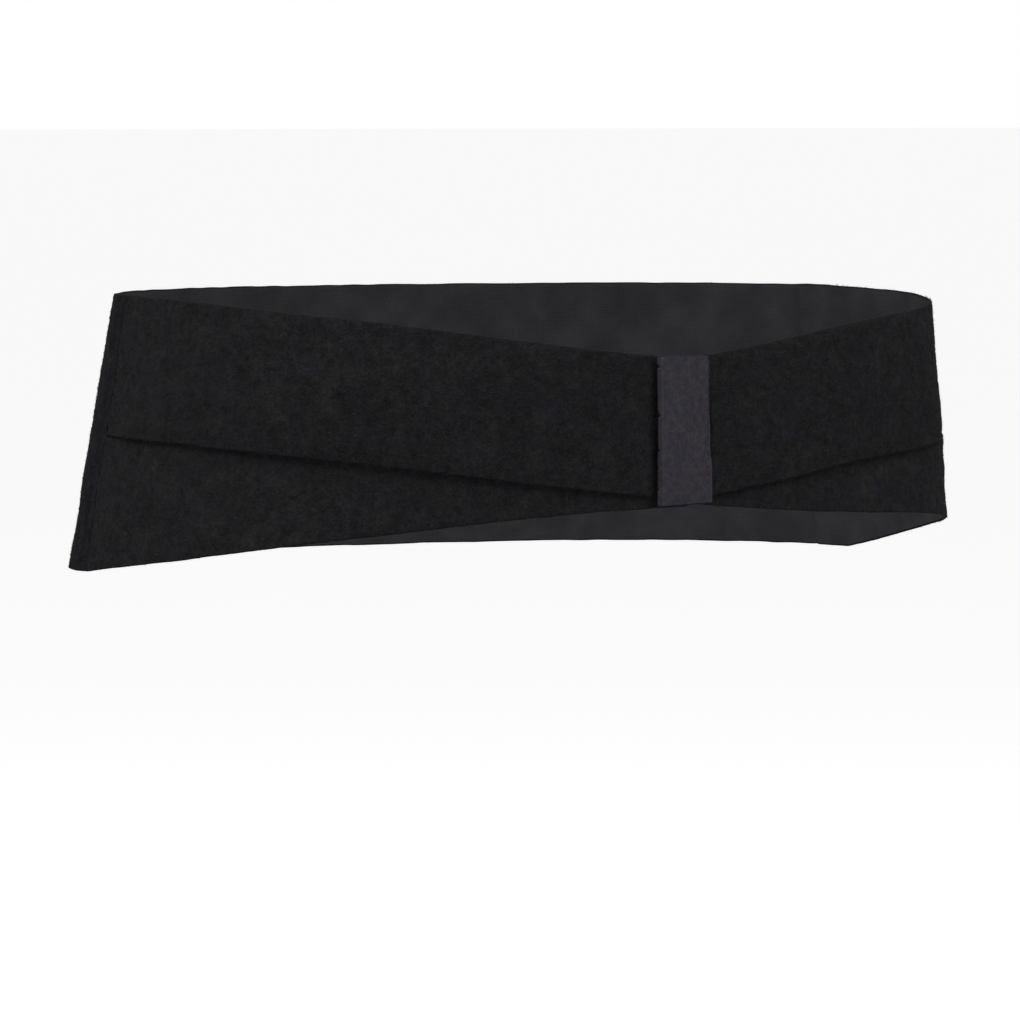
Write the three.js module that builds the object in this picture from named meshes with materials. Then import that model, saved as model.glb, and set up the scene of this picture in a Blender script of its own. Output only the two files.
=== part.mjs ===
// A hernia belt as it is worn, closed at the front: a panel round the back of the hips, two straps
// from each of its ends to the front, and an upright hook tape tab that holds them together.
// Millimetres, +Z up, +X to the wearer's left, -Y to the wearer's front. The origin lies on the
// body's axis, at mid-height of the front closure. Right and left in names are the wearer's.

import * as THREE from "three";

const { degToRad, lerp, mapLinear, smoothstep } = THREE.MathUtils;

// Sizes of the hips inside the belt, at the height of the closure
const hipHalfBreadth = 168;
const hipFrontDepth = 114.5;
const hipBackDepth = 117;
// Exponent of the hips' superellipse, 2 being a plain ellipse
const hipSquareness = 2.37;

// Growth of the hips' sizes for each millimetre further down
const sideFlare = 0.116;
const frontFlare = 0.028;
const backFlare = 0.18;

// Straps: the upper pair lies over the lower pair, and both pairs meet edge to edge at the panel.
// An upper strap leans in to the hips above the lower strap, over strapLeanHeight.
const strapWidth = 53.5;
const strapThickness = 1.8;
const strapEdgeLap = 1;
const strapPairMiddle = -2.8;
const strapLeanHeight = 50;

// Back panel: its front edges stand at panelFrontAngle, counted from the front centre
const panelThickness = 2.2;
const panelFrontAngle = degToRad(100);
const panelLap = 15;
const panelStepLength = 16;
const panelStepHeight = 12;

// Tab: flush with the upper straps at the top, and ending tabInset above the lower straps' bottom
// edges. It is sewn to the left straps over tabSewnWidth and grips the right ones with the rest.
const tabWidth = 24.5;
const tabMiddleX = -0.7;
const tabThickness = 1.6;
const tabSewnWidth = 9;
const tabInset = 0.8;

// Air between pieces, ease of the cut edges, and the fineness of the facets
const clearance = 0.3;
const edgeEase = 0.45;
const sectionAngle = degToRad(3);
const strapRows = 6;
const panelRows = 10;
const tabRows = 3;

// Height of each strap's middle line at the closure
const closureHeight = { upperRight: 1.4, upperLeft: 0.8, lowerRight: -1.7, lowerLeft: -0.2 };

// Course of each strap's middle line from the closure to the panel, a row for each fifth of the
// way round, as shares of its whole rise or drop
const strapCourse = [
  { way: 0.0, upperRight: 0.0, upperLeft: 0.0, lowerRight: 0.0, lowerLeft: 0.0 },
  { way: 0.2, upperRight: 0.18, upperLeft: 0.27, lowerRight: 0.05, lowerLeft: 0.12 },
  { way: 0.4, upperRight: 0.45, upperLeft: 0.57, lowerRight: 0.19, lowerLeft: 0.22 },
  { way: 0.6, upperRight: 0.74, upperLeft: 0.76, lowerRight: 0.43, lowerLeft: 0.32 },
  { way: 0.8, upperRight: 0.94, upperLeft: 0.92, lowerRight: 0.74, lowerLeft: 0.59 },
  { way: 1.0, upperRight: 1.0, upperLeft: 1.0, lowerRight: 1.0, lowerLeft: 1.0 },
];

// Places that follow from the sizes
const pairPitch = strapWidth - strapEdgeLap;
const upperPanelHeight = strapPairMiddle + pairPitch / 2;
const lowerPanelHeight = strapPairMiddle - pairPitch / 2;
const panelWidth = strapWidth + pairPitch;
const layerPitch = strapThickness + clearance;
const strapButtX = tabMiddleX + tabWidth / 2 - tabSewnWidth;
const strapEndAngle = panelFrontAngle + panelLap / hipHalfBreadth;
const panelLevelAngle = strapEndAngle + panelStepLength / hipHalfBreadth;

// The straps of each side of the body
const rightStraps = {
  upper: { column: "upperRight", panelHeight: upperPanelHeight },
  lower: { column: "lowerRight", panelHeight: lowerPanelHeight },
  side: -1,
};
const leftStraps = {
  upper: { column: "upperLeft", panelHeight: upperPanelHeight },
  lower: { column: "lowerLeft", panelHeight: lowerPanelHeight },
  side: 1,
};

// Angles round the body run from 0 at the front centre, positive to the wearer's left
function angleAtFront(x) {
  return Math.atan2(x, hipFrontDepth);
}

// A point on the hips' outline at an angle and a height, moved out by lift
function pointOnHips(angle, z, lift) {
  const half = hipHalfBreadth - sideFlare * z;
  const atFront = Math.cos(angle) > 0;
  const depth = atFront ? hipFrontDepth - frontFlare * z : hipBackDepth - backFlare * z;
  const across = Math.abs(Math.sin(angle)) / half;
  const along = Math.abs(Math.cos(angle)) / depth;
  const radius = (across ** hipSquareness + along ** hipSquareness) ** (-1 / hipSquareness);
  const slope = hipSquareness - 1;
  const outX = (Math.sign(Math.sin(angle)) * (across * radius) ** slope) / half;
  const outY = (-Math.sign(Math.cos(angle)) * (along * radius) ** slope) / depth;
  const scale = lift / Math.hypot(outX, outY);
  return new THREE.Vector3(
    radius * Math.sin(angle) + outX * scale,
    -radius * Math.cos(angle) + outY * scale,
    z,
  );
}

// Angles of the sections from one end of a band to the other, on one grid for all bands, so that
// the facets of bands that lie on each other match
function sectionAngles(from, to) {
  const leastStep = sectionAngle / 4;
  const angles = [from];
  for (let k = Math.ceil(from / sectionAngle); k * sectionAngle < to; k += 1) {
    const angle = k * sectionAngle;
    if (Math.min(angle - from, to - angle) > leastStep) angles.push(angle);
  }
  angles.push(to);
  return angles;
}

// A closed band round the hips: edgesAt(angle) gives its bottom and top, liftAt(angle, z) the
// height of its inner face above the hips, and rows the number of facets across it
function bandGeometry({ from, to, edgesAt, liftAt, thickness, rows }) {
  const ease = Math.min(edgeEase, thickness / 3);
  const positions = [];
  const angles = sectionAngles(from, to);
  for (const angle of angles) {
    const { bottom, top } = edgesAt(angle);
    const place = (z, depth) => {
      positions.push(...pointOnHips(angle, z, liftAt(angle, z) + depth).toArray());
    };
    const rowZ = (k) => lerp(bottom + ease, top - ease, k / rows);
    place(bottom, ease);
    for (let k = 0; k <= rows; k += 1) place(rowZ(k), 0);
    place(top, ease);
    place(top, thickness - ease);
    for (let k = rows; k >= 0; k -= 1) place(rowZ(k), thickness);
    place(bottom, thickness - ease);
  }

  const ring = 2 * (rows + 3);
  const indices = [];
  const addQuad = (a, b, c, d) => indices.push(a, b, c, a, c, d);
  for (let s = 0; s + 1 < angles.length; s += 1) {
    const here = s * ring;
    const there = here + ring;
    for (let k = 0; k < ring; k += 1) {
      const next = (k + 1) % ring;
      addQuad(here + k, here + next, there + next, there + k);
    }
  }
  const last = (angles.length - 1) * ring;
  for (let k = 0; k + 1 < ring / 2; k += 1) {
    const across = ring - 1 - k;
    addQuad(k, across, across - 1, k + 1);
    addQuad(last + k, last + k + 1, last + across - 1, last + across);
  }

  const geometry = new THREE.BufferGeometry();
  geometry.setAttribute("position", new THREE.Float32BufferAttribute(positions, 3));
  geometry.setIndex(indices);
  geometry.computeVertexNormals();
  return geometry;
}

// Middle line of one strap, smooth through the rows of the table
function strapMiddle({ column, panelHeight }) {
  const ways = strapCourse.map((row) => row.way);
  const shares = strapCourse.map((row) => row[column]);
  const curve = new THREE.CubicInterpolant(ways, shares, 1);
  return (angle) => {
    const way = Math.min(Math.abs(angle) / panelFrontAngle, 1);
    return lerp(closureHeight[column], panelHeight, curve.evaluate(way)[0]);
  };
}

// Height above the hips of a strap that lies on another whose top edge is at underTop
function leaningLift(z, underTop) {
  return layerPitch * (1 - smoothstep(z, underTop, underTop + strapLeanHeight));
}

function strapGeometry({ course, side, liftAt }) {
  const middle = strapMiddle(course);
  const buttAngle = angleAtFront(strapButtX + side * clearance);
  const backAngle = side * strapEndAngle;
  return bandGeometry({
    from: Math.min(buttAngle, backAngle),
    to: Math.max(buttAngle, backAngle),
    edgesAt: (angle) => ({
      bottom: middle(angle) - strapWidth / 2,
      top: middle(angle) + strapWidth / 2,
    }),
    liftAt,
    thickness: strapThickness,
    rows: strapRows,
  });
}

function upperStrapGeometry({ upper, lower, side }) {
  const lowerMiddle = strapMiddle(lower);
  const liftAt = (angle, z) => leaningLift(z, lowerMiddle(angle) + strapWidth / 2);
  return strapGeometry({ course: upper, side, liftAt });
}

function lowerStrapGeometry({ lower, side }) {
  return strapGeometry({ course: lower, side, liftAt: () => 0 });
}

// The panel lies on the body at the back. Towards its front edges it steps up over the straps'
// ends, highest where the upper strap lies on the lower one.
function panelGeometry() {
  const upperBottom = upperPanelHeight - strapWidth / 2;
  const lowerTop = lowerPanelHeight + strapWidth / 2;
  const liftOverStraps = (z) => {
    const stepUp = smoothstep(z, upperBottom - panelStepHeight, upperBottom);
    return layerPitch + stepUp * leaningLift(z, lowerTop);
  };
  const lapShare = (angle) => {
    const fromFront = Math.PI - Math.abs(Math.PI - angle);
    return 1 - smoothstep(fromFront, strapEndAngle, panelLevelAngle);
  };
  return bandGeometry({
    from: panelFrontAngle,
    to: 2 * Math.PI - panelFrontAngle,
    edgesAt: () => ({
      bottom: strapPairMiddle - panelWidth / 2,
      top: strapPairMiddle + panelWidth / 2,
    }),
    liftAt: (angle, z) => lapShare(angle) * liftOverStraps(z),
    thickness: panelThickness,
    rows: panelRows,
  });
}

// The tab's corners keep to the edges of the straps that pass under its two sides
function tabGeometry() {
  const rightAngle = angleAtFront(tabMiddleX - tabWidth / 2);
  const leftAngle = angleAtFront(tabMiddleX + tabWidth / 2);
  const between = (rightCourse, leftCourse) => {
    const rightHeight = strapMiddle(rightCourse)(rightAngle);
    const leftHeight = strapMiddle(leftCourse)(leftAngle);
    return (angle) => mapLinear(angle, rightAngle, leftAngle, rightHeight, leftHeight);
  };
  const upperMiddle = between(rightStraps.upper, leftStraps.upper);
  const lowerMiddle = between(rightStraps.lower, leftStraps.lower);
  return bandGeometry({
    from: rightAngle,
    to: leftAngle,
    edgesAt: (angle) => ({
      bottom: lowerMiddle(angle) - strapWidth / 2 + tabInset,
      top: upperMiddle(angle) + strapWidth / 2,
    }),
    liftAt: () => 2 * layerPitch,
    thickness: tabThickness,
    rows: tabRows,
  });
}

const loopFabric = new THREE.MeshStandardMaterial({ color: 0x1d1d21, roughness: 0.95, metalness: 0 });
const panelFabric = new THREE.MeshStandardMaterial({ color: 0x222228, roughness: 0.9, metalness: 0 });
const hookTape = new THREE.MeshStandardMaterial({ color: 0x3b373f, roughness: 0.7, metalness: 0 });

function piece(name, geometry, material) {
  const mesh = new THREE.Mesh(geometry, material);
  mesh.name = name;
  return mesh;
}

const belt = new THREE.Group();
belt.name = "hernia_belt";
belt.add(
  piece("back_panel", panelGeometry(), panelFabric),
  piece("upper_strap_right", upperStrapGeometry(rightStraps), loopFabric),
  piece("upper_strap_left", upperStrapGeometry(leftStraps), loopFabric),
  piece("lower_strap_right", lowerStrapGeometry(rightStraps), loopFabric),
  piece("lower_strap_left", lowerStrapGeometry(leftStraps), loopFabric),
  piece("hook_tab", tabGeometry(), hookTape),
);

export default belt;
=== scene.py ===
"""A hernia belt as it is worn: a wide back panel, two pairs of loop fabric straps that cross at the
sides, and the hook tape tab that closes them at the front, with their stitching.

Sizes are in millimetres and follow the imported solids. Meshes are made in metres, in the same frame:
+X to the wearer's left, -Y to the wearer's front, +Z up. Right and left are the wearer's.
"""

import math

import bpy
import numpy as np
from mathutils import Matrix, Vector


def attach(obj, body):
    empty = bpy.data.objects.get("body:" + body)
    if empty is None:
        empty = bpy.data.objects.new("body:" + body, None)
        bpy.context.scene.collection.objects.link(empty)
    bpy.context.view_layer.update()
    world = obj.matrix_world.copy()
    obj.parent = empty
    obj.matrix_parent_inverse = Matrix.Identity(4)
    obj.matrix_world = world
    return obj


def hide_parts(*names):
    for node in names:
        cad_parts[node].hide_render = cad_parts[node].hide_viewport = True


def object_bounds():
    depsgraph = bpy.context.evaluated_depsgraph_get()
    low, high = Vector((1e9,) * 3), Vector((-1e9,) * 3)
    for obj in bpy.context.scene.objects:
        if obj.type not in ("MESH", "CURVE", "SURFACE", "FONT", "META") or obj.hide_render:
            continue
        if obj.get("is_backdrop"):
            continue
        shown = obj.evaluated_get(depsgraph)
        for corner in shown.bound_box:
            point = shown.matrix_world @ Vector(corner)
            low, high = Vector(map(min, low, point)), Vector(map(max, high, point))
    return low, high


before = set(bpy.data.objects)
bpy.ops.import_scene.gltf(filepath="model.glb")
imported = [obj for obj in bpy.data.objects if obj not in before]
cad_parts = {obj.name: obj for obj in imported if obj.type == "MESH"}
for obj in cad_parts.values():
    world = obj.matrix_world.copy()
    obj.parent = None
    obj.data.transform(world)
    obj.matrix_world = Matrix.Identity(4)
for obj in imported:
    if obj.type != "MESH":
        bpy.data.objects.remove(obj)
cad_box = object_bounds()

METRE = 1000.0

# Hips inside the belt, at the height of the closure, and their growth for each millimetre down
HIP_HALF_BREADTH = 168.0
HIP_FRONT_DEPTH = 114.5
HIP_BACK_DEPTH = 117.0
HIP_SQUARENESS = 2.37
SIDE_FLARE = 0.116
FRONT_FLARE = 0.028
BACK_FLARE = 0.18

# Straps
STRAP_WIDTH = 53.5
STRAP_THICKNESS = 1.8
STRAP_EDGE_LAP = 1.0
STRAP_PAIR_MIDDLE = -2.8
STRAP_LEAN_HEIGHT = 50.0
CLEARANCE = 0.3
LAYER_PITCH = STRAP_THICKNESS + CLEARANCE

# Panel
PANEL_THICKNESS = 2.2
PANEL_FRONT_ANGLE = math.radians(100)
PANEL_LAP = 15.0
PANEL_STEP_LENGTH = 16.0

# Tab, and how far it lies to the wearer's right of its solid's place
TAB_WIDTH = 24.5
TAB_MIDDLE_X = -0.7
TAB_THICKNESS = 1.6
TAB_SEWN_WIDTH = 9.0
TAB_INSET = 0.8
TAB_SHIFT = 0.45

PAIR_PITCH = STRAP_WIDTH - STRAP_EDGE_LAP
UPPER_PANEL_HEIGHT = STRAP_PAIR_MIDDLE + PAIR_PITCH / 2
LOWER_PANEL_HEIGHT = STRAP_PAIR_MIDDLE - PAIR_PITCH / 2
PANEL_WIDTH = STRAP_WIDTH + PAIR_PITCH
STRAP_BUTT_X = TAB_MIDDLE_X + TAB_WIDTH / 2 - TAB_SEWN_WIDTH
STRAP_END_ANGLE = PANEL_FRONT_ANGLE + PANEL_LAP / HIP_HALF_BREADTH
PANEL_LEVEL_ANGLE = STRAP_END_ANGLE + PANEL_STEP_LENGTH / HIP_HALF_BREADTH

# Where the hips bulge beside the belt, and where the lap of one strap on another sinks into them:
# from what angle, and over how far round. Further round, the hips are firm.
BULGES_FROM = {
    "right": (math.radians(72), math.radians(22)),
    "left": (math.radians(46), math.radians(20)),
}
SINKS_FROM = {
    "right": (math.radians(93), math.radians(8)),
    "left": (math.radians(56), math.radians(11)),
}
FIRM_FROM = (math.radians(125), math.radians(25))

# Depth of the bulges: how much there is everywhere, its growth for each millimetre down, hills on
# it by their depth, height on the belt and width, and falls from it by their depth, top and height
RIGHT_BULGE = 0.4
RIGHT_BULGE_GROWTH = 0.035
RIGHT_BULGE_HILLS = ((0.6, -12, 16), (0.35, -24, 8))
LEFT_BULGE = 2.8
LEFT_BULGE_HILLS = ((0.3, 7, 8),)
LEFT_BULGE_FALLS = ((0.8, -8, 6), (1.1, -17, 14))

# Ripples of the whole belt: depth, whole waves round it, millimetres of height for each radian, and
# phase
RIPPLES = ((0.30, 8, 23.0, 0.7), (0.22, 13, -16.0, 2.1), (0.14, 22, 12.5, 4.0))

# Steps in the layers over the upper strap's bottom edge, of the hips and of the panel: their height,
# and how far above that edge their top is
SINK_STEP = (4.0, 2.9)
PANEL_STEP = (4.5, 3.0)

# How much thinner the upper strap's bottom edge is pressed, and over what height: everywhere, and
# further where the lap has sunk in
LAP_PRESSED = (0.4, 6.0)
LAP_SUNK = (1.0, 3.5)

# How far the panel's front edges are sewn down and how much thinner they are, both with the width
# that this takes, and the hollow below the lap that they fill, by its depth, place and width
PANEL_SEWN_DOWN = (0.27, 3)
PANEL_THINNED = (2.05, 6)
PANEL_AT_LAP = ((0.35, -0.3, 1.2),)

# Course of each strap's middle line: height at the closure, height at the panel, and the shares of
# the way between them at each fifth of the way round
COURSES = {
    "upper_right": (1.4, UPPER_PANEL_HEIGHT, (0, 0.18, 0.45, 0.74, 0.94, 1)),
    "upper_left": (0.8, UPPER_PANEL_HEIGHT, (0, 0.27, 0.57, 0.76, 0.92, 1)),
    "lower_right": (-1.7, LOWER_PANEL_HEIGHT, (0, 0.05, 0.19, 0.43, 0.74, 1)),
    "lower_left": (-0.2, LOWER_PANEL_HEIGHT, (0, 0.12, 0.22, 0.32, 0.59, 1)),
}

# Fineness of the cloth meshes, and roundness of the cut edges: a radius, its most in a share of the
# thickness, the steps round a corner, and the shares of the radius where an end has its sections
STRAP_MESH = 1.0
PANEL_MESH = 1.1
TAB_MESH = 0.24
EDGE_RADIUS = 0.55
EDGE_SHARE = 0.4
CORNER_STEPS = 3
END_SECTIONS = (0, 0.08, 0.3, 0.62)

# Unevenness of the cut edges and of the nap, by the height and size of its lumps
STRAP_EDGE_LUMPS = ((0.05, 2.6), (0.14, 11.0))
PANEL_EDGE_LUMPS = ((0.15, 7.0),)
TAB_EDGE_LUMPS = ((0.1, 1.2),)
STRAP_NAP_LUMPS = ((0.09, 4.5), (0.06, 2.4))
PANEL_NAP_LUMPS = ((0.09, 3.6), (0.05, 2.0))

# How far the straps' nap is pressed flat in front of the panel
NAP_PRESSED = 4

# Weave of the tape, the selvedge cords near its right and left side, and the turned end at its bottom
TAPE_RIB = 0.95
TAPE_WEFT = 0.6
TAPE_SELVEDGE = 1.8
TAPE_LEFT_CORD = 0.8
TAPE_TURNED_END = 14.3

# Height and depth of the nicks in the side of the tape, and their width
TAPE_NICKS = ((24.8, 0.75), (6.5, 0.65), (-6.7, 0.4), (-13.3, 0.35), (-21.4, 0.45))
NICK_WIDTH = 0.55

# The tab's left side: how far in it is, and how much further above the turned end and above the
# middle, with the place and height of each change. Its right side is wider by so much at the bottom.
TAB_LEFT_IN = 0.45
TAB_LEFT_STEP = (0.75, -14.6, 10)
TAB_LEFT_TAPER = (1.0, 0, 16)
TAB_RIGHT_OUT = (0.3, -11, 5)

# How the tab stands off the straps: its top left corner and its right side
TAB_CORNER_UP = 0.9
TAB_RIGHT_UP = 0.5

# What the tab's left and right side press into the strap: depth, how far from the side, and width,
# and the step by which the left one begins, by its height, place and length
TAB_CREASE = (1.6, 0.3, 0.85)
TAB_DIP = (0.7, 0.4, 2.6)
TAB_CREASE_BEGINS = (1, -9, 8)

# How much lower than their width the straps' tops are cut: everywhere, and further under the tab
TOP_CUT = 0.2
TOP_UNDER_TAB = 0.5

# Stitching: length of a stitch and of its pitch, thickness of the thread, the seam lines' places,
# and how wide and deep a seam sinks into the cloth
STITCH = 2.1
STITCH_PITCH = 2.8
THREAD = 0.28
PANEL_SEAMS = (3.4, 9.4)
TAB_SEAM = 2.6
PANEL_SEAM_SUNK = (0.9, 0.14)
TAB_SEAM_SUNK = (0.5, 0.06)

# Loops of the nap: how many lie on a square millimetre of a strap and of the panel, their sizes, how
# far they bow, sink in and roll over, and where the nap is thick
STRAP_FIBRES = 1.6
PANEL_FIBRES = 0.6
FIBRE_LENGTH = (0.7, 1.7)
FIBRE_HEIGHT = (0.12, 0.4)
FIBRE_WIDTH = 0.13
FIBRE_WIDTHS = (0.6, 1.3)
FIBRE_BOW = 0.35
FIBRE_SUNK = 0.04
FIBRE_ROLL = 1.2
NAP_THICKNESS = 0.62
NAP_TUFTS = ((0.42, 3.4), (0.28, 8.0))

# First seeds of the panel's and the tab's unevenness
PANEL_SEED = 61
TAB_SEED = 71


def smooth(x):
    """The usual soft step from 0 to 1."""
    x = np.clip(x, 0.0, 1.0)
    return x * x * (3 - 2 * x)


def hill(x, middle, width):
    """A soft hill of height 1."""
    return np.exp(-(((x - middle) / width) ** 2))


def lumps(u, v, size, seed):
    """Smooth noise from -1 to 1 over a plane, with lumps of about this size."""
    lattice = np.random.default_rng(seed).uniform(-1, 1, (256, 256))
    u, v = np.broadcast_arrays(np.asarray(u, float) / size, np.asarray(v, float) / size)
    i, j = np.floor(u).astype(int), np.floor(v).astype(int)
    s, t = smooth(u - i), smooth(v - j)
    near = lattice[i % 256, j % 256] * (1 - s) + lattice[(i + 1) % 256, j % 256] * s
    far = lattice[i % 256, (j + 1) % 256] * (1 - s) + lattice[(i + 1) % 256, (j + 1) % 256] * s
    return near * (1 - t) + far * t


def lumpy(start, u, v, rows, seed):
    """start, and on it lumps of these heights and sizes, each with the next seed."""
    for k, (height, size) in enumerate(rows):
        start = start + height * lumps(u, v, size, seed + k)
    return start


def hilly(start, x, rows):
    """start, and on it hills of these heights, middles and widths."""
    for height, middle, width in rows:
        start = start + height * hill(x, middle, width)
    return start


def rising(x, step):
    """How much of a step there is at x, from its height, start and length."""
    height, start, length = step
    return height * smooth((x - start) / length)


# Form of the hips and of the belt on them


def on_hips(angle, z, lift):
    """Points at these angles and heights, lift millimetres out from the hips."""
    half = HIP_HALF_BREADTH - SIDE_FLARE * z
    front = HIP_FRONT_DEPTH - FRONT_FLARE * z
    back = HIP_BACK_DEPTH - BACK_FLARE * z
    depth = np.where(np.cos(angle) > 0, front, back)
    across = np.abs(np.sin(angle)) / half
    along = np.abs(np.cos(angle)) / depth
    n = HIP_SQUARENESS
    radius = (across**n + along**n) ** (-1 / n)
    out_x = np.sign(np.sin(angle)) * (across * radius) ** (n - 1) / half
    out_y = -np.sign(np.cos(angle)) * (along * radius) ** (n - 1) / depth
    scale = lift / np.hypot(out_x, out_y)
    x = radius * np.sin(angle) + out_x * scale
    y = -radius * np.cos(angle) + out_y * scale
    return np.stack([x, y, z + 0 * x], axis=-1)


def arc_table():
    """Angles from the front centre to the back, and the length round the hips to each."""
    angles = np.linspace(0, math.pi, 1801)
    points = on_hips(angles, 0 * angles, 0 * angles)
    steps = np.linalg.norm(np.diff(points, axis=0), axis=1)
    return angles, np.concatenate([[0], np.cumsum(steps)])


ARC_ANGLES, ARC_LENGTHS = arc_table()
HALF_ROUND = ARC_LENGTHS[-1]


def arc_of(angle):
    """Length round the hips from the front centre, signed as the angle is."""
    turn = np.abs(angle)
    arc = np.interp(np.minimum(turn, 2 * math.pi - turn), ARC_ANGLES, ARC_LENGTHS)
    return np.sign(angle) * np.where(turn > math.pi, 2 * HALF_ROUND - arc, arc)


def angle_of(arc):
    """The angle at this length round the hips."""
    run = np.abs(arc)
    angle = np.interp(np.minimum(run, 2 * HALF_ROUND - run), ARC_LENGTHS, ARC_ANGLES)
    return np.sign(arc) * np.where(run > HALF_ROUND, 2 * math.pi - angle, angle)


def angle_at_front(x):
    return math.atan2(x, HIP_FRONT_DEPTH)


def turn_of(angle):
    """How far round from the front this is, on either side."""
    return math.pi - np.abs(math.pi - np.abs(angle))


def by_side(angle, right, left):
    return np.where((angle < 0) | (angle > math.pi), right, left)


PANEL_FRONT = float(arc_of(PANEL_FRONT_ANGLE))
PANEL_BACK = 2 * HALF_ROUND - PANEL_FRONT
TAB_RIGHT = float(arc_of(angle_at_front(TAB_MIDDLE_X - TAB_WIDTH / 2)))
TAB_LEFT = float(arc_of(angle_at_front(TAB_MIDDLE_X + TAB_WIDTH / 2)))


def tab_left_side(z):
    """Where the tab's left side lies: it comes in above the turned end, and again further up."""
    return TAB_LEFT - TAB_SHIFT - TAB_LEFT_IN - rising(z, TAB_LEFT_STEP) - rising(z, TAB_LEFT_TAPER)


def strap_middle(course, angle):
    """Height of a strap's middle line, smooth through its shares."""
    start, end, shares = COURSES[course]
    shares = np.array(shares, float)
    slopes = np.gradient(shares)
    last = len(shares) - 1
    way = np.clip(np.abs(angle) / PANEL_FRONT_ANGLE, 0, 1) * last
    k = np.minimum(way.astype(int), last - 1)
    t = way - k
    share = (
        shares[k] * (2 * t**3 - 3 * t**2 + 1)
        + slopes[k] * (t**3 - 2 * t**2 + t)
        + shares[k + 1] * (3 * t**2 - 2 * t**3)
        + slopes[k + 1] * (t**3 - t**2)
    )
    return start + (end - start) * share


def leaning_lift(z, under_top):
    """Height above the hips of a strap that lies on another, whose top edge is at under_top."""
    return LAYER_PITCH * (1 - smooth((z - under_top) / STRAP_LEAN_HEIGHT))


def over_ends(angle):
    """1 where the panel lies over the straps' ends, falling to 0 behind them."""
    level = PANEL_LEVEL_ANGLE - STRAP_END_ANGLE
    return 1 - smooth((turn_of(angle) - STRAP_END_ANGLE) / level)


def pair_middle(kind, angle):
    """Height of the middle line of the upper or the lower strap, on whichever side this is."""
    turn = turn_of(angle)
    return by_side(angle, strap_middle(kind + "_right", turn), strap_middle(kind + "_left", turn))


def pair_step(angle, z, step):
    """How far the upper strap raises what lies over both straps, in a soft step at its bottom."""
    height, rise = step
    step_top = pair_middle("upper", angle) - STRAP_WIDTH / 2 + rise
    lower_top = pair_middle("lower", angle) + STRAP_WIDTH / 2
    return smooth((z - step_top) / height + 1) * leaning_lift(z, lower_top)


def at_sides(angle, begins):
    """0 at the front, rising to 1 at the sides from where it begins, and 0 again at the back."""
    turn = turn_of(angle)
    right, left = (smooth((turn - begins[side][0]) / begins[side][1]) for side in ("right", "left"))
    return by_side(angle, right, left) * (1 - smooth((turn - FIRM_FROM[0]) / FIRM_FROM[1]))


def hip_form(angle, z):
    """How far the hips bulge at the sides, and give where the straps' lap presses."""
    right = hilly(RIGHT_BULGE - RIGHT_BULGE_GROWTH * z, z, RIGHT_BULGE_HILLS)
    left = hilly(LEFT_BULGE, z, LEFT_BULGE_HILLS)
    for fall, top, height in LEFT_BULGE_FALLS:
        left = left - fall * smooth(-(z - top) / height)
    bulge = at_sides(angle, BULGES_FROM) * by_side(angle, right, left)
    lap = over_ends(angle) * pair_step(angle, z, SINK_STEP)
    return bulge - at_sides(angle, SINKS_FROM) * lap


def from_panel_edge(arc):
    return np.minimum(arc - PANEL_FRONT, PANEL_BACK - arc)


def panel_lift(angle, z):
    """Height of the panel's inner face: on the hips, and over the straps' ends at its own ends,
    where its edge is sewn down."""
    depth, width = PANEL_SEWN_DOWN
    ends = LAYER_PITCH + pair_step(angle, z, PANEL_STEP)
    from_lap = z - pair_middle("upper", angle) + STRAP_WIDTH / 2
    sewn_down = hilly(depth, from_lap, PANEL_AT_LAP)
    from_edge = from_panel_edge(np.abs(arc_of(angle)))
    return over_ends(angle) * ends - sewn_down * (1 - smooth(from_edge / width))


def ripple(angle, z):
    """Slow unevenness of the whole belt, in whole waves round it, and the form of the hips. Every
    layer follows it."""
    way = math.pi * arc_of(angle) / HALF_ROUND
    waves = sum(depth * np.sin(count * way + z / rise + phase) for depth, count, rise, phase in RIPPLES)
    return waves + hip_form(angle, z)


# Meshes


def link(name, mesh, materials):
    piece = bpy.data.objects.new(name, mesh)
    bpy.context.scene.collection.objects.link(piece)
    for material in materials:
        mesh.materials.append(material)
    return piece


def mesh_of(name, points, faces, kinds, uv):
    """A smooth-shaded mesh from points in millimetres, with one material index a face."""
    mesh = bpy.data.meshes.new(name)
    mesh.from_pydata((points / METRE).tolist(), [], faces.tolist())
    mesh.polygons.foreach_set("material_index", kinds.astype(np.int32))
    mesh.polygons.foreach_set("use_smooth", np.ones(len(faces), bool))
    layer = mesh.uv_layers.new(name="cloth")
    layer.data.foreach_set("uv", (uv / METRE)[faces.ravel()].astype(np.float32).ravel())
    return mesh


def section_of(height, thickness, pitch):
    """Once round a band's cross-section, up the inner face and down the outer one: heights above
    the bottom edge, depths above the inner face, and the material of each step."""
    r = min(EDGE_RADIUS, thickness * EDGE_SHARE)
    rows = max(2, round((height - 2 * r) / pitch))
    turn = np.linspace(0, math.pi / 2, CORNER_STEPS + 1)
    face = np.linspace(r, height - r, rows + 1)
    bottom_y, bottom_d = (r - r * np.cos(turn))[:-1], (r - r * np.sin(turn))[:-1]
    up = np.concatenate([bottom_y, face, height - bottom_y[::-1]])
    out = np.concatenate([bottom_d, 0 * face, bottom_d[::-1]])
    kinds = np.ones(2 * len(up), int)
    kinds[CORNER_STEPS : CORNER_STEPS + rows] = 0
    kinds[len(up) + CORNER_STEPS : len(up) + CORNER_STEPS + rows] = 2
    return np.concatenate([up, up[::-1]]), np.concatenate([out, thickness - out[::-1]]), kinds


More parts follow.
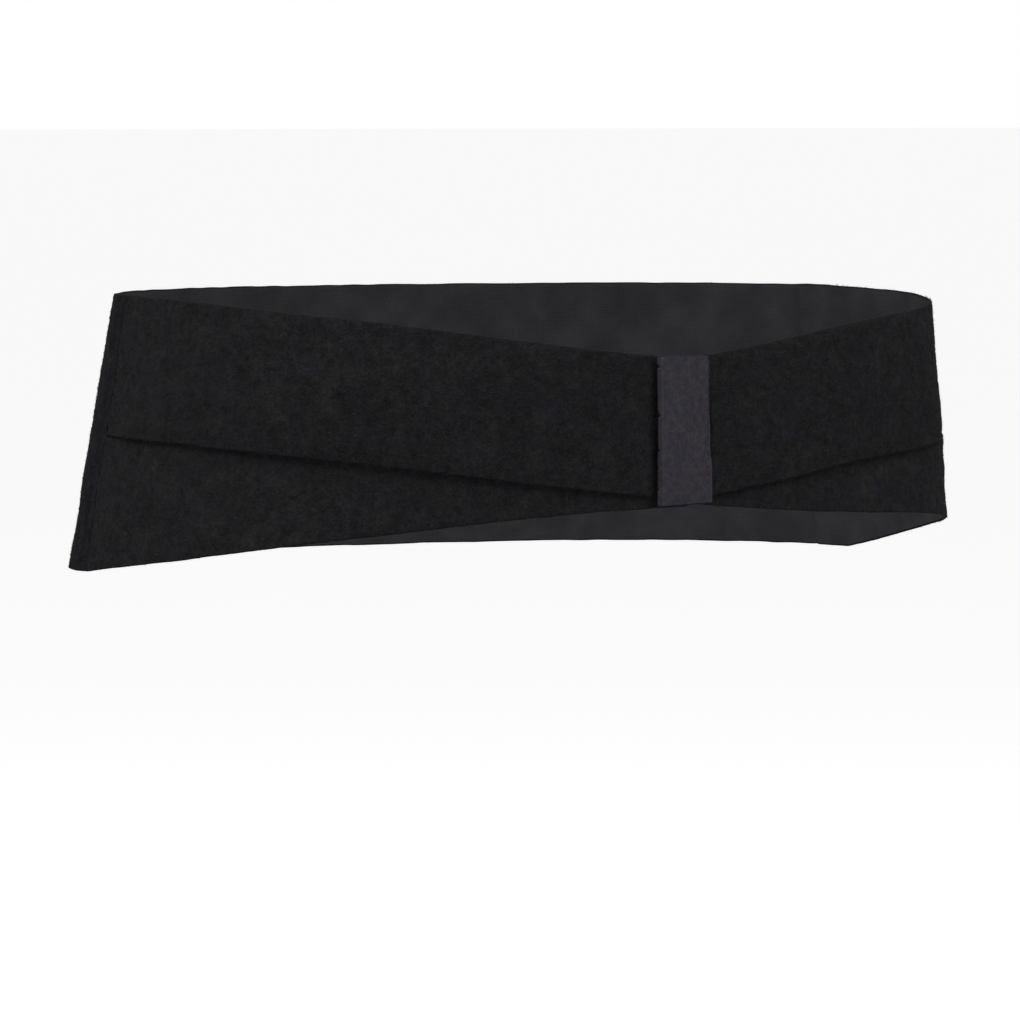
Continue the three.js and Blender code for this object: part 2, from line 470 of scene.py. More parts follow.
def stations_of(start, end, pitch):
    """Places of the sections between two ends, and how far each is drawn in to round the ends."""
    near = EDGE_RADIUS * np.array(END_SECTIONS)
    even = np.linspace(start, end, round((end - start) / pitch) + 1)
    middle = even[(even > start + EDGE_RADIUS) & (even < end - EDGE_RADIUS)]
    arcs = np.concatenate([start + near, middle, end - near[::-1]])
    gap = np.minimum(np.minimum(arcs - start, end - arcs), EDGE_RADIUS)
    return arcs, EDGE_RADIUS - np.sqrt(EDGE_RADIUS**2 - (EDGE_RADIUS - gap) ** 2)


def band(name, ends, size, pitch, edges, lift, relief, materials, sway=None, seated=False):
    """A closed band of cloth round the hips, between two places in ends.

    size is its width and thickness. edges(angle) gives its bottom and top, lift(angle, z) the
    height of its inner face, relief(arc, z) what stands proud of its outer face, and sway(arc, z)
    how far a point is moved along. The materials are inner, rim, outer and ends. A seated band's
    ends aren't rounded, as its relief thins them out. Returns the piece and a function that gives
    points over its outer face.
    """
    arcs, inset = stations_of(*ends, pitch)
    heights, depths, kinds = section_of(*size, pitch)
    height, thickness = size
    inset = inset[:, None]
    share = (inset + heights * (height - 2 * inset) / height) / height
    rounding = 0 * inset if seated else inset
    depth = rounding + depths * (thickness - 2 * rounding) / thickness
    bottom, top = edges(angle_of(arcs)[:, None])
    z = bottom + (top - bottom) * share
    arc = arcs[:, None] + 0 * z
    uv = np.stack([arc, z], -1).reshape(-1, 2)
    if sway is not None:
        arc = arc + sway(arc, z)
    angle = angle_of(arc)
    depth = depth + depths / thickness * relief(arc, z)
    points = on_hips(angle, z, lift(angle, z) + ripple(angle, z) + depth)

    def face(arc, z, above):
        """Points this far above the outer face."""
        angle = angle_of(arc)
        height = lift(angle, z) + ripple(angle, z) + thickness + relief(arc, z) + above
        return on_hips(angle, z, height)

    count, ring = z.shape
    at = np.arange(count * ring).reshape(count, ring)
    here, there = at[:-1], at[1:]
    sides = np.stack([here, np.roll(here, -1, 1), np.roll(there, -1, 1), there], -1)
    k = np.arange(ring // 2 - 1)
    first = np.stack([k, ring - 1 - k, ring - 2 - k, k + 1], -1)
    last = at[-1, 0] + first[:, ::-1]
    faces = np.concatenate([sides.reshape(-1, 4), first, last])
    kinds = np.concatenate([np.tile(kinds, count - 1), np.full(2 * len(first), 3)])
    piece = link(name, mesh_of(name, points.reshape(-1, 3), faces, kinds, uv), materials)
    return piece, face


def matted(arc, z, seed):
    """How thick the nap lies here, from about 0 to 1: it mats into tufts."""
    return lumpy(NAP_THICKNESS, arc, z, NAP_TUFTS, seed)


def fibres(name, arc, z, face, material, seed):
    """Loops of the nap, a thin bent ribbon at each place on a face."""
    dice = np.random.default_rng(seed)
    count = len(arc)
    way = np.linspace(0, 1, 4)
    heading = dice.uniform(0, 2 * math.pi, count)[:, None]
    length = dice.uniform(*FIBRE_LENGTH, count)[:, None]
    bow = dice.uniform(-FIBRE_BOW, FIBRE_BOW, count)[:, None] * length * np.sin(math.pi * way)
    height = dice.uniform(*FIBRE_HEIGHT, count)[:, None] * np.sin(math.pi * way) - FIBRE_SUNK
    roll = dice.uniform(-FIBRE_ROLL, FIBRE_ROLL, count)[:, None]
    half = FIBRE_WIDTH / 2 * dice.uniform(*FIBRE_WIDTHS, count)[:, None]
    along = length * (way - 0.5)
    sides = []
    for side in (-half, half):
        aside = bow + side * np.cos(roll)
        at_arc = arc[:, None] + along * np.cos(heading) - aside * np.sin(heading)
        at_z = z[:, None] + along * np.sin(heading) + aside * np.cos(heading)
        sides.append(face(at_arc, at_z, height + side * np.sin(roll)))
    points = np.stack(sides, 2).reshape(-1, 3)
    start = 8 * np.arange(count)[:, None] + 2 * np.arange(3)
    faces = np.stack([start, start + 1, start + 3, start + 2], -1).reshape(-1, 4)
    uv = np.zeros((len(points), 2))
    return link(name, mesh_of(name, points, faces, np.zeros(len(faces), int), uv), [material])


def stitches(name, runs, face, material):
    """Thread stitches along seam lines. Each run is a row of (arc, z) middles and a direction in
    that plane, and face(arc, z, above) gives the points over the cloth below."""
    sides, steps = 8, 9
    along = np.linspace(-0.5, 0.5, steps)
    rise = THREAD * (0.25 - 1.2 * (2 * np.abs(along)) ** 4)
    turn = np.linspace(0, 2 * math.pi, sides, endpoint=False)
    points, faces, uv = [], [], []
    for middles, direction in runs:
        direction = np.array(direction, float)
        aside = np.array([-direction[1], direction[0]])
        for middle in middles:
            start = len(points) * sides * steps
            path = np.array(middle) + along[:, None] * STITCH * direction
            flat = path[:, None] + (THREAD / 2 * np.cos(turn))[None, :, None] * aside
            lift = rise[:, None] + THREAD / 2 * np.sin(turn)
            points.append(face(flat[..., 0], flat[..., 1], lift).reshape(-1, 3))
            grid = start + np.arange(steps * sides).reshape(steps, sides)
            here, there = grid[:-1], grid[1:]
            quads = np.stack([here, np.roll(here, -1, 1), np.roll(there, -1, 1), there], -1)
            faces.append(quads.reshape(-1, 4))
            around = np.stack([along[:, None] * STITCH + 0 * lift, 0.12 * turn + 0 * lift], -1)
            uv.append(around.reshape(-1, 2))
    points, faces, uv = (np.concatenate(rows) for rows in (points, faces, uv))
    kinds = np.zeros(len(faces), int)
    return link(name, mesh_of(name, points, faces, kinds, uv), [material])


# Materials


class Paint:
    """A material's node tree, with short calls for the nodes that the fabrics use."""

    def __init__(self, name):
        self.material = bpy.data.materials.new(name)
        self.material.use_nodes = True
        self.tree = self.material.node_tree
        self.shader = self.tree.nodes["Principled BSDF"]

    def join(self, value, socket):
        """Links a socket to this one, or sets it to a number or a colour."""
        if isinstance(value, bpy.types.NodeSocket):
            self.tree.links.new(value, socket)
        elif socket.type == "RGBA":
            socket.default_value = (*value, 1.0)
        else:
            socket.default_value = value

    def add(self, kind, inputs=(), **settings):
        """A node with these settings, and inputs by name or number."""
        node = self.tree.nodes.new(kind)
        for key, value in settings.items():
            setattr(node, key, value)
        for key, value in dict(inputs).items():
            self.join(value, node.inputs[key])
        return node

    def finish(self, **inputs):
        """Feeds the shader, an underscore in a name standing for a space."""
        for key, value in inputs.items():
            self.join(value, self.shader.inputs[key.replace("_", " ")])
        return self.material

    def place(self):
        return self.add("ShaderNodeTexCoord").outputs["Object"]

    def cloth_place(self):
        return self.add("ShaderNodeUVMap", uv_map="cloth").outputs["UV"]

    def part(self, vector, axis):
        return self.add("ShaderNodeSeparateXYZ", {0: vector}).outputs[axis]

    def stretched(self, vector, scale):
        return self.add("ShaderNodeMapping", {"Vector": vector, "Scale": scale}).outputs["Vector"]

    def noise(self, vector, size, detail=3.0, roughness=0.55):
        """Noise with lumps of about this many millimetres."""
        inputs = {"Vector": vector, "Scale": METRE / size, "Detail": detail, "Roughness": roughness}
        return self.add("ShaderNodeTexNoise", inputs).outputs["Fac"]

    def cells(self, vector, size):
        inputs = {"Vector": vector, "Scale": METRE / size}
        return self.add("ShaderNodeTexVoronoi", inputs).outputs["Distance"]

    def bands(self, vector, pitch, direction):
        """Even bands from 0 to 1 at this pitch in millimetres."""
        inputs = {"Vector": vector, "Scale": METRE * math.pi / 10 / pitch}
        return self.add("ShaderNodeTexWave", inputs, bands_direction=direction).outputs["Fac"]

    def ranged(self, value, low, high, to_low, to_high):
        inputs = {0: value, 1: low, 2: high, 3: to_low, 4: to_high}
        return self.add("ShaderNodeMapRange", inputs).outputs["Result"]

    def calculated(self, operation, a, b):
        return self.add("ShaderNodeMath", {0: a, 1: b}, operation=operation).outputs["Value"]

    def mixed(self, factor, a, b, blend="MIX"):
        inputs = {0: factor, 6: a, 7: b}
        return self.add("ShaderNodeMix", inputs, data_type="RGBA", blend_type=blend).outputs[2]

    def shaded(self, colour, value):
        """The colour times a number."""
        grey = self.add("ShaderNodeCombineColor", {0: value, 1: value, 2: value}).outputs["Color"]
        return self.mixed(1.0, colour, grey, "MULTIPLY")

    def bump(self, height, depth, under=None):
        """Bump of this many millimetres, over another one if it is given."""
        inputs = {"Height": height, "Distance": depth / METRE}
        if under is not None:
            inputs["Normal"] = under
        return self.add("ShaderNodeBump", inputs).outputs["Normal"]


def loop_fabric(name, dark, light, cool):
    """Brushed loop fabric: a matted nap over a knit, near black and faintly blotched."""
    paint = Paint(name)
    place = paint.place()
    blotch = paint.ranged(paint.noise(place, 12.0, 4.0, 0.6), 0.35, 0.65, 0, 1)
    hue = paint.ranged(paint.noise(place, 11.0, 3.0, 0.6), 0.42, 0.6, 0, 1)
    tufts = paint.noise(place, 3.4, 3.0, 0.6)
    nap = paint.noise(place, 1.1, 3.0, 0.6)
    tone = paint.mixed(hue, paint.mixed(blotch, dark, light), cool)
    tone = paint.shaded(tone, paint.ranged(tufts, 0.3, 0.7, 0.73, 1.28))
    normal = paint.bump(tufts, 0.25)
    normal = paint.bump(paint.cells(place, 1.2), 0.12, normal)
    return paint.finish(
        Base_Color=paint.shaded(tone, paint.ranged(nap, 0.3, 0.7, 0.72, 1.34)),
        Normal=paint.bump(nap, 0.16, normal),
        Roughness=1.0,
        Specular_IOR_Level=0.02,
    )


def fibre_paint(name, tone):
    """The nap's own yarn, whose loops are not all alike."""
    paint = Paint(name)
    alike = paint.add("ShaderNodeNewGeometry").outputs["Random Per Island"]
    colour = paint.shaded(tone, paint.ranged(alike, 0, 1, 0.7, 1.3))
    return paint.finish(Base_Color=colour, Roughness=0.9, Specular_IOR_Level=0.05)


def knit_backing(name, dark, light):
    """Smooth knitted backing: narrow upright wales with a fine stitch along each."""
    paint = Paint(name)
    place = paint.cloth_place()
    knit = paint.calculated("MULTIPLY", paint.bands(place, 1.1, "X"), paint.bands(place, 0.8, "Y"))
    blotch = paint.ranged(paint.noise(paint.place(), 14.0, 4.0), 0.35, 0.65, 0, 1)
    return paint.finish(
        Base_Color=paint.shaded(paint.mixed(blotch, dark, light), paint.ranged(knit, 0, 1, 0.92, 1.1)),
        Normal=paint.bump(knit, 0.12),
        Roughness=0.9,
        Specular_IOR_Level=0.03,
    )


def cut_edge(name, tone):
    """The cut side of the laminate: dense, dull foam and clipped threads. Its tone is given darker than
    the faces', partly as painted shade, so that rims facing the lamps stay dark.
    """
    paint = Paint(name)
    threads = paint.noise(paint.place(), 0.5, 2.0, 0.6)
    light = tuple(2.0 * part for part in tone)
    return paint.finish(
        Base_Color=paint.mixed(paint.ranged(threads, 0.35, 0.7, 0, 1), tone, light),
        Normal=paint.bump(threads, 0.15),
        Roughness=1.0,
        Specular_IOR_Level=0.02,
    )


def woven_tape(name, violet, warm, pink):
    """Back of the hook tape: upright warp ribs crossed by a finer weft, in dull nylon that wear has
    mottled, with a darker strip outside the selvedge cord on its right side."""
    paint = Paint(name)
    place = paint.cloth_place()
    warp, weft = paint.bands(place, TAPE_RIB, "X"), paint.bands(place, TAPE_WEFT, "Y")
    weave = paint.calculated("MULTIPLY", warp, weft)
    hue = paint.noise(paint.stretched(place, (1.0, 0.8, 1.0)), 4.5, 2.0, 0.55)
    blush = paint.noise(paint.stretched(place, (1.0, 0.8, 1.0)), 4.2, 2.0, 0.55)
    wide = paint.noise(paint.stretched(place, (1.0, 0.2, 1.0)), 4.0, 1.0, 0.4)
    mottle = paint.noise(paint.stretched(place, (1.0, 0.8, 1.0)), 2.7, 2.5, 0.6)
    speckle = paint.noise(place, 1.4, 2.5, 0.6)
    tone = paint.mixed(paint.ranged(hue, 0.42, 0.58, 0, 1), violet, warm)
    tone = paint.mixed(paint.ranged(blush, 0.53, 0.66, 0, 1), tone, pink)
    tone = paint.shaded(tone, paint.ranged(wide, 0.35, 0.65, 0.94, 1.06))
    tone = paint.shaded(tone, paint.ranged(mottle, 0.32, 0.68, 0.76, 1.26))
    tone = paint.shaded(tone, paint.ranged(speckle, 0.3, 0.7, 0.78, 1.24))
    across = paint.part(place, "X")
    strip = paint.ranged(across, (TAB_RIGHT + 1.3) / METRE, (TAB_RIGHT + 1.7) / METRE, 0.77, 1)
    tone = paint.shaded(tone, strip)
    for cord, glint in ((TAB_RIGHT + TAPE_SELVEDGE, 1.22), (TAB_LEFT - TAPE_LEFT_CORD, 1.12)):
        off = paint.calculated("ABSOLUTE", paint.calculated("SUBTRACT", across, cord / METRE), 0)
        tone = paint.shaded(tone, paint.ranged(off, 0.1 / METRE, 0.6 / METRE, glint, 1))
    return paint.finish(
        Base_Color=paint.shaded(tone, paint.ranged(weave, 0, 1, 0.96, 1.04)),
        Normal=paint.bump(speckle, 0.12, paint.bump(weave, 0.02)),
        Roughness=0.75,
        Specular_IOR_Level=0.1,
    )


def thread_paint(name, tone):
    """Sewing thread: two plies twisted round each other, seen as slanting bands."""
    paint = Paint(name)
    twist = paint.bands(paint.cloth_place(), 0.55, "DIAGONAL")
    return paint.finish(
        Base_Color=paint.shaded(tone, paint.ranged(twist, 0, 1, 0.6, 1.3)),
        Normal=paint.bump(twist, 0.06),
        Roughness=0.7,
        Specular_IOR_Level=0.05,
    )


upper_nap = loop_fabric(
    "loop fabric", (0.0062, 0.0063, 0.0063), (0.0093, 0.0094, 0.0093), (0.0076, 0.0076, 0.0094)
)
# The lower straps' nap is the upper straps' nap painted about 8% lighter: painted light, for the
# brighter light that falls on the lower straps.
lower_nap_painted_lighter = loop_fabric(
    "lower loop fabric painted lighter", (0.0067, 0.0068, 0.0068), (0.0099, 0.0100, 0.0099), (0.0081, 0.0081, 0.0100)
)
panel_nap = loop_fabric(
    "panel fabric", (0.0056, 0.0056, 0.0060), (0.0082, 0.0082, 0.0088), (0.0067, 0.0068, 0.0086)
)
upper_yarn = fibre_paint("loop yarn", (0.0127, 0.0128, 0.0130))
# The lower straps' yarn is painted lighter in the same way: painted light.
lower_yarn_painted_lighter = fibre_paint("lower loop yarn painted lighter", (0.0137, 0.0138, 0.0140))
panel_yarn = fibre_paint("panel yarn", (0.0112, 0.0112, 0.0125))
backing = knit_backing("knit backing", (0.0165, 0.0165, 0.018), (0.0225, 0.0225, 0.0245))
# The straps' cut edges, darker than the nap: partly the laminate's own edge, partly painted shade on
# rims that face the lamps and along the bottom edges.
rim_foam_and_painted_shade = cut_edge("cut edge", (0.0046, 0.0046, 0.0049))
tape = woven_tape(
    "hook tape", (0.0164, 0.0151, 0.0214), (0.0171, 0.0157, 0.0186), (0.0199, 0.0150, 0.0203)
)
# The tape's sides and hook face, near black: partly the tape's own dark side, partly painted shade, so
# that the tab's side beside the strap reads as a shadowed black line.
tape_side_and_painted_shade = cut_edge("tape edge painted shade", (0.0035, 0.0032, 0.0038))
# The tape's top and bottom rims, darker than its face: painted shade, so that the top rim does not
# catch the lamps from above.
tape_rim_painted_shade = cut_edge("tape rim painted shade", (0.0066, 0.0062, 0.0082))
black_thread = thread_paint("black thread", (0.0048, 0.0048, 0.0052))
tape_thread = thread_paint("tape thread", (0.019, 0.0175, 0.022))


# Straps


def strap(name, course, under=None, over=None):
    """One strap, from the panel to where the two sides' straps meet under the tab, with the nap
    where it shows. under and over are the courses of the straps that it lies on and below."""
    side = -1 if course.endswith("right") else 1
    butt = angle_at_front(STRAP_BUTT_X + side * CLEARANCE)
    ends = sorted([float(arc_of(butt)), float(arc_of(side * STRAP_END_ANGLE))])
    seed = 10 + 10 * list(COURSES).index(course)

    def edges(angle):
        middle = strap_middle(course, angle)
        arc = arc_of(angle)
        under_tab = smooth((arc - TAB_RIGHT + 0.5) / 1.5) * smooth((TAB_LEFT - arc - 0.5) / 1.5)
        lower = TOP_CUT + TOP_UNDER_TAB * under_tab
        bottom = middle - STRAP_WIDTH / 2 + lumpy(0, arc, 0, STRAP_EDGE_LUMPS, seed)
        return bottom, middle + STRAP_WIDTH / 2 - lower + lumpy(0, arc, 100, STRAP_EDGE_LUMPS, seed)

    def lift(angle, z):
        if under is None:
            return 0 * z
        return leaning_lift(z, strap_middle(under, angle) + STRAP_WIDTH / 2)

    def relief(arc, z):
        """Unevenness of the nap, pressed flat at the panel's edge, the thinner bottom edge of an
        upper strap where it has sunk in, and what the tab's two sides press into the strap."""
        uneven_nap = lumpy(0, arc, z, STRAP_NAP_LUMPS, seed + 2)
        nap = uneven_nap * smooth((PANEL_FRONT - np.abs(arc)) / NAP_PRESSED)
        if under is None:
            return nap
        angle = angle_of(arc)
        from_bottom = z - strap_middle(course, angle) + STRAP_WIDTH / 2
        pressed = LAP_PRESSED[0] * (1 - smooth(from_bottom / LAP_PRESSED[1]))
        thinned = LAP_SUNK[0] * (1 - smooth(from_bottom / LAP_SUNK[1]))
        depth, off, width = TAB_CREASE
        crease = depth * hill(arc, tab_left_side(z) + off, width) * rising(z, TAB_CREASE_BEGINS)
        depth, off, width = TAB_DIP
        dip = depth * hill(arc, TAB_RIGHT - TAB_SHIFT + off, width)
        return nap - pressed - thinned * at_sides(angle, SINKS_FROM) - (crease + dip)

    size = (STRAP_WIDTH, STRAP_THICKNESS)
    # A lower strap takes the nap that is painted lighter: painted light.
    faces = [backing, rim_foam_and_painted_shade, lower_nap_painted_lighter if under is None else upper_nap, rim_foam_and_painted_shade]
    piece, face = band(name + "_cloth", ends, size, STRAP_MESH, edges, lift, relief, faces)

    dice = np.random.default_rng(seed + 4)
    count = int(STRAP_FIBRES * STRAP_WIDTH * (ends[1] - ends[0]))
    arc = dice.uniform(*ends, count)
    angle = angle_of(arc)
    z = strap_middle(course, angle) + STRAP_WIDTH * dice.uniform(-0.499, 0.496, count)
    shown = (np.abs(arc) < PANEL_FRONT) & ((arc < TAB_RIGHT - 1) | (arc > TAB_LEFT - 0.2))
    shown &= dice.uniform(0, 1, count) < matted(arc, z, seed + 6)
    if over is not None:
        shown &= z < strap_middle(over, angle) - STRAP_WIDTH / 2 - 0.9
    # A lower strap's loops take the yarn that is painted lighter: painted light.
    yarn = lower_yarn_painted_lighter if under is None else upper_yarn
    nap = fibres(name + "_nap", arc[shown], z[shown], face, yarn, seed + 5)
    return piece, nap


upper_right, upper_right_nap = strap("upper_strap_right", "upper_right", under="lower_right")
upper_left, upper_left_nap = strap("upper_strap_left", "upper_left", under="lower_left")
lower_right, lower_right_nap = strap("lower_strap_right", "lower_right", over="upper_right")
lower_left, lower_left_nap = strap("lower_strap_left", "lower_left", over="upper_left")


# Panel

PANEL_BOTTOM = STRAP_PAIR_MIDDLE - PANEL_WIDTH / 2
PANEL_TOP = STRAP_PAIR_MIDDLE + PANEL_WIDTH / 2
PANEL_TRIM = 0.15


def panel_edges(angle):
    arc = arc_of(angle)
    bottom = lumpy(PANEL_BOTTOM + PANEL_TRIM, arc, 0, PANEL_EDGE_LUMPS, PANEL_SEED + 2)
    return bottom, lumpy(PANEL_TOP - PANEL_TRIM, arc, 0, PANEL_EDGE_LUMPS, PANEL_SEED + 3)


def panel_relief(arc, z):
    """Unevenness of the nap, the sunk seams, the edge that is pressed thin, and what evens out the
    step over the straps."""
    nap = lumpy(0, arc, z, PANEL_NAP_LUMPS, PANEL_SEED)
    from_edge = from_panel_edge(arc)
    seam_width, seam_depth = PANEL_SEAM_SUNK
    seams = sum(hill(from_edge, seam, seam_width) for seam in PANEL_SEAMS)
    depth, width = PANEL_THINNED
    thinned = 1 - smooth(from_edge / width)
    angle = angle_of(arc)
    steps = pair_step(angle, z, SINK_STEP) - pair_step(angle, z, PANEL_STEP)
    return nap * (1 - 0.5 * seams) - seam_depth * seams - depth * thinned + over_ends(angle) * steps


panel, panel_face = band(
    "back_panel_cloth",
    (PANEL_FRONT, PANEL_BACK),
    (PANEL_WIDTH, PANEL_THICKNESS),
    PANEL_MESH,
    panel_edges,
    panel_lift,
    panel_relief,
    [backing, panel_nap, panel_nap, panel_nap],
    seated=True,
)

dice = np.random.default_rng(PANEL_SEED + 4)
count = int(PANEL_FIBRES * PANEL_WIDTH * (PANEL_BACK - PANEL_FRONT))
arc = dice.uniform(PANEL_FRONT, PANEL_BACK, count)
z = dice.uniform(PANEL_BOTTOM + 0.4, PANEL_TOP - 0.4, count)
shown = dice.uniform(0, 1, count) < matted(arc, z, PANEL_SEED + 6)
panel_yarns = fibres("back_panel_nap", arc[shown], z[shown], panel_face, panel_yarn, PANEL_SEED + 5)


def seam_up(arc, bottom, top):
    """A row of upright stitches."""
    count = int((top - bottom) / STITCH_PITCH)
    spare = (top - bottom - count * STITCH_PITCH) / 2
    heights = bottom + spare + STITCH_PITCH * (np.arange(count) + 0.5)
    return [(arc, z) for z in heights], (0, 1)


panel_seams = [
    seam_up(arc, PANEL_BOTTOM + 1.5, PANEL_TOP - 1.5)
    for seam in PANEL_SEAMS
    for arc in (PANEL_FRONT + seam, PANEL_BACK - seam)
]
panel_stitches = stitches("panel_stitches", panel_seams, panel_face, black_thread)


# Tab


def tab_line(kind, angle):
    """Height of the straps' middle between the tab's two sides."""
    ends = angle_of(np.array([TAB_RIGHT, TAB_LEFT]))
    heights = [strap_middle(f"{kind}_{side}", end) for side, end in zip(("right", "left"), ends)]
    return np.interp(angle, ends, heights)


TAB_BOTTOM = float(tab_line("lower", 0.0)) - STRAP_WIDTH / 2 + TAB_INSET
TAB_TOP = float(tab_line("upper", 0.0)) + STRAP_WIDTH / 2


def tab_edges(angle):
    arc = arc_of(angle)
    bottom = tab_line("lower", angle) - STRAP_WIDTH / 2 + TAB_INSET
    top = tab_line("upper", angle) + STRAP_WIDTH / 2
    return (
        lumpy(bottom, arc, 0, TAB_EDGE_LUMPS, TAB_SEED),
        lumpy(top, arc, 0, TAB_EDGE_LUMPS, TAB_SEED + 1),
    )


def tab_relief(arc, z):
    """Warp ribs, a flatter selvedge, and the second layer of the turned end."""
    from_right, from_left = arc - TAB_RIGHT, TAB_LEFT - arc
    ribs = 0.012 * np.cos(2 * math.pi * arc / TAPE_RIB)
    selvedge = np.minimum(smooth(from_right / TAPE_SELVEDGE), smooth(from_left - 0.2))
    cord = hill(from_right, TAPE_SELVEDGE, 0.3) + hill(from_left, TAPE_LEFT_CORD, 0.3)
    turned = smooth((TAB_BOTTOM + TAPE_TURNED_END - z) / 1.2)
    seam_width, seam_depth = TAB_SEAM_SUNK
    seam = hill(from_left, TAB_SEAM, seam_width)
    return ribs * selvedge + 0.04 * selvedge + 0.1 * cord + 0.09 * turned - seam_depth * seam


def tab_sway(arc, z):
    """How the tab lies to the wearer's right, with its nicked right side, and its left side, which
    comes in towards the top."""
    from_right, from_left = arc - TAB_RIGHT, TAB_LEFT - arc
    nicks = sum(depth * hill(z, at, NICK_WIDTH) for at, depth in TAPE_NICKS)
    wider = TAB_RIGHT_OUT[0] - rising(z, TAB_RIGHT_OUT)
    move_right = nicks + 0.1 * lumps(z, 0, 1.6, TAB_SEED + 2) - wider
    move_left = TAB_LEFT - TAB_SHIFT - tab_left_side(z) + 0.1 * lumps(z, 0, 1.8, TAB_SEED + 3)
    sides = move_right * hill(from_right, 0, 1.2) - move_left * (1 - smooth(from_left / TAB_SEWN_WIDTH))
    return sides - TAB_SHIFT


def tab_lift(angle, z):
    """The tab on the upper straps. Its right side stands off a little, and its free top corner on
    the left springs up."""
    corner = smooth((angle / angle_of(TAB_LEFT) - 0.2) / 0.8) * smooth((z - TAB_TOP + 28) / 22)
    right_side = smooth((angle / angle_of(TAB_RIGHT) - 0.4) / 0.6)
    return 2 * LAYER_PITCH + TAB_CORNER_UP * corner + TAB_RIGHT_UP * right_side


tab, tab_face = band(
    "hook_tab_cloth",
    (TAB_RIGHT, TAB_LEFT),
    (TAB_TOP - TAB_BOTTOM, TAB_THICKNESS),
    TAB_MESH,
    tab_edges,
    tab_lift,
    tab_relief,
    [tape_side_and_painted_shade, tape_rim_painted_shade, tape, tape_side_and_painted_shade],
    tab_sway,
)

tab_seam = seam_up(TAB_LEFT - TAB_SEAM, TAB_BOTTOM + 1.2, TAB_TOP - 1.2)
tab_stitches = stitches("tab_stitches", [tab_seam], tab_face, tape_thread)


# Each piece in place of the solid that it stands for, which is hidden, all hung from the root, and the
# flat cut of a strap

for piece, node, slot in (
    (panel, "back_panel", "panel_fabric"),
    (upper_right, "upper_strap_right", "loop_fabric"),
    (upper_left, "upper_strap_left", "loop_fabric"),
    (lower_right, "lower_strap_right", "loop_fabric"),
    (lower_left, "lower_strap_left", "loop_fabric"),
    (tab, "hook_tab", "hook_tape"),
):
    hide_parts(node)
    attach(piece, "root")

for piece, slot in (
    (panel_stitches, "panel_fabric"),
    (panel_yarns, "panel_fabric"),
    (tab_stitches, "hook_tape"),
    (upper_right_nap, "loop_fabric"),
    (upper_left_nap, "loop_fabric"),
    (lower_right_nap, "loop_fabric"),
    (lower_left_nap, "loop_fabric"),
):
    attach(piece, "root")

STRAP_CUT = (STRAP_WIDTH / METRE, (float(arc_of(STRAP_END_ANGLE)) - STRAP_BUTT_X) / METRE)


# Floor, light and camera

TURN = math.radians(31.53)
RISE = math.radians(2.53)
ROLL = math.radians(0.19)
DISTANCE = 3.2
LENS = 289.7
SENSOR = 36
CLIP_END = 200
AIM = (-4.4 / METRE, -35.2 / METRE)
FLOOR_HEIGHT = -0.5
FLOOR_HALF = 60.0

# The glow of the studio from above and below, and the heights in the sky between which it changes
GLOW_ABOVE = 0.4
GLOW_BELOW = 1.25
GLOW_CHANGES = (-0.15, 0.25)

# The lamps: their distance and size, and for each its azimuth from the front, elevation and power
LAMP_DISTANCE = 1.7
LAMP_SIZE = 1.1
LAMPS = {"right_key": (24, 57, 37), "left_key": (-88, 58, 42)}


def from_front(azimuth, elevation, distance):
    """A point seen from the origin at an azimuth from the front, positive to the wearer's left."""
    a, e = math.radians(azimuth), math.radians(elevation)
    return distance * Vector((math.sin(a) * math.cos(e), -math.cos(a) * math.cos(e), math.sin(e)))


def lamp(name, place, power):
    """A round soft light that shines on the origin."""
    data = bpy.data.lights.new(name, "AREA")
    data.shape = "DISK"
    data.size = LAMP_SIZE
    data.energy = power
    light = bpy.data.objects.new(name, data)
    light.location = place
    light.rotation_euler = place.to_track_quat("Z", "Y").to_euler()
    bpy.context.scene.collection.objects.link(light)


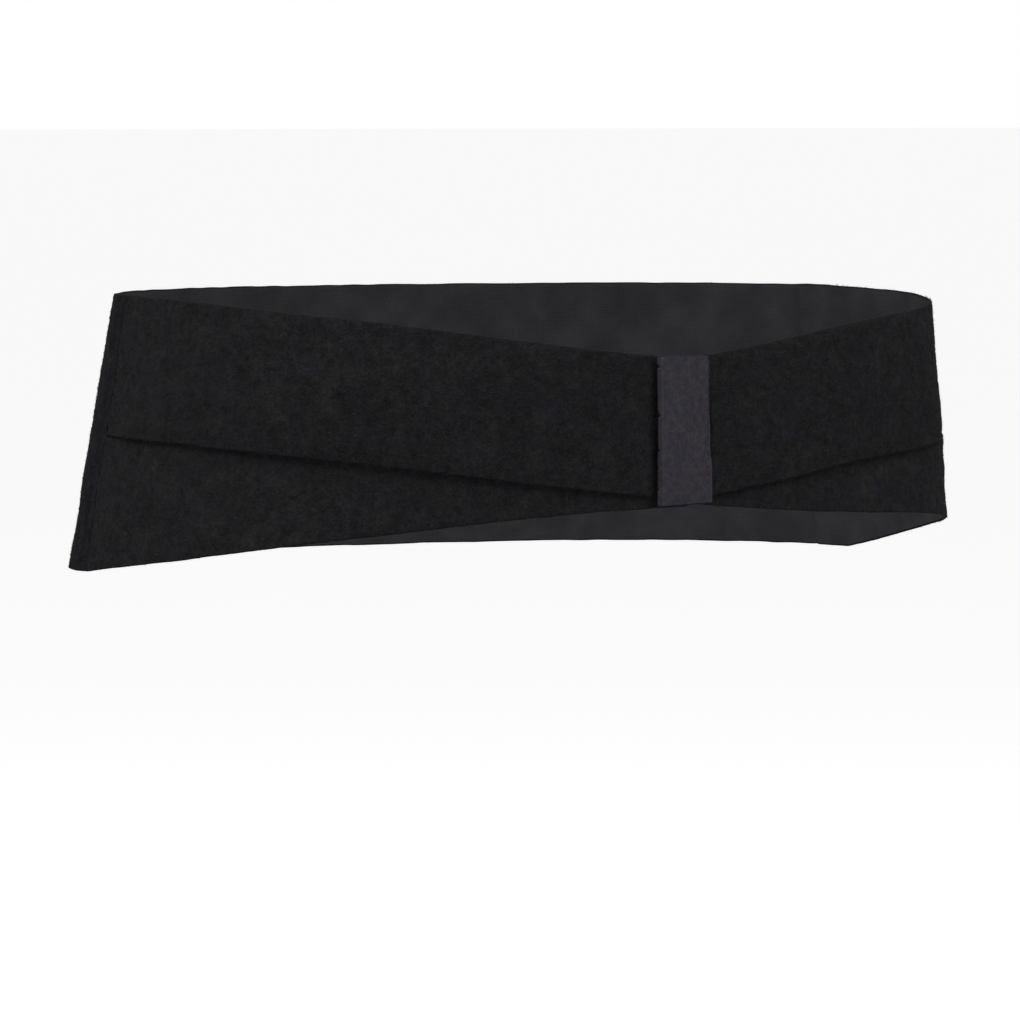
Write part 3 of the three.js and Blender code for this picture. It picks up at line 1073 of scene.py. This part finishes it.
floor_mesh = bpy.data.meshes.new("floor")
sides = [(-1, -1), (1, -1), (1, 1), (-1, 1)]
corners = [(x * FLOOR_HALF, y * FLOOR_HALF, FLOOR_HEIGHT) for x, y in sides]
floor_mesh.from_pydata(corners, [], [(0, 1, 2, 3)])
floor_paint = Paint("floor paint").finish(
    Base_Color=(0.8, 0.8, 0.8), Roughness=1.0, Emission_Color=(1, 1, 1), Emission_Strength=0.6
)
floor = link("floor", floor_mesh, [floor_paint])
floor.visible_diffuse = False
floor.visible_glossy = False
floor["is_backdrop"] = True

world = bpy.data.worlds.new("studio")
world.use_nodes = True
sky = world.node_tree
direction = sky.nodes.new("ShaderNodeTexCoord").outputs["Generated"]
height = sky.nodes.new("ShaderNodeSeparateXYZ")
sky.links.new(direction, height.inputs[0])
glow = sky.nodes.new("ShaderNodeMapRange")
sky.links.new(height.outputs["Z"], glow.inputs[0])
for socket, value in zip(list(glow.inputs)[1:5], (*GLOW_CHANGES, GLOW_BELOW, GLOW_ABOVE)):
    socket.default_value = value
seen = sky.nodes.new("ShaderNodeLightPath").outputs["Is Camera Ray"]
strength = sky.nodes.new("ShaderNodeMix")
sky.links.new(seen, strength.inputs[0])
sky.links.new(glow.outputs[0], strength.inputs[2])
strength.inputs[3].default_value = 1.0
sky.links.new(strength.outputs[0], sky.nodes["Background"].inputs["Strength"])
sky.nodes["Background"].inputs["Color"].default_value = (1, 1, 1, 1)
bpy.context.scene.world = world

for name, (azimuth, elevation, power) in LAMPS.items():
    lamp(name, from_front(azimuth, elevation, LAMP_DISTANCE), power)

back = from_front(-math.degrees(TURN), math.degrees(RISE), 1.0)
right = Vector((math.cos(TURN), -math.sin(TURN), 0))
up = back.cross(right)
place = back * DISTANCE
look = (place - (right * AIM[0] + up * AIM[1])).normalized()
level = Vector((0, 0, 1)).cross(look).normalized()
turned = Matrix((level, look.cross(level), look)).transposed() @ Matrix.Rotation(ROLL, 3, "Z")
camera_data = bpy.data.cameras.new("camera")
camera_data.lens = LENS
camera_data.sensor_width = SENSOR
camera_data.clip_end = CLIP_END
camera = bpy.data.objects.new("camera", camera_data)
camera.matrix_world = Matrix.Translation(place) @ turned.to_4x4()
bpy.context.scene.collection.objects.link(camera)
bpy.context.scene.camera = camera
bpy.context.scene.view_settings.view_transform = "Standard"

[[list(corner) for corner in box] for box in (cad_box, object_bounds())]
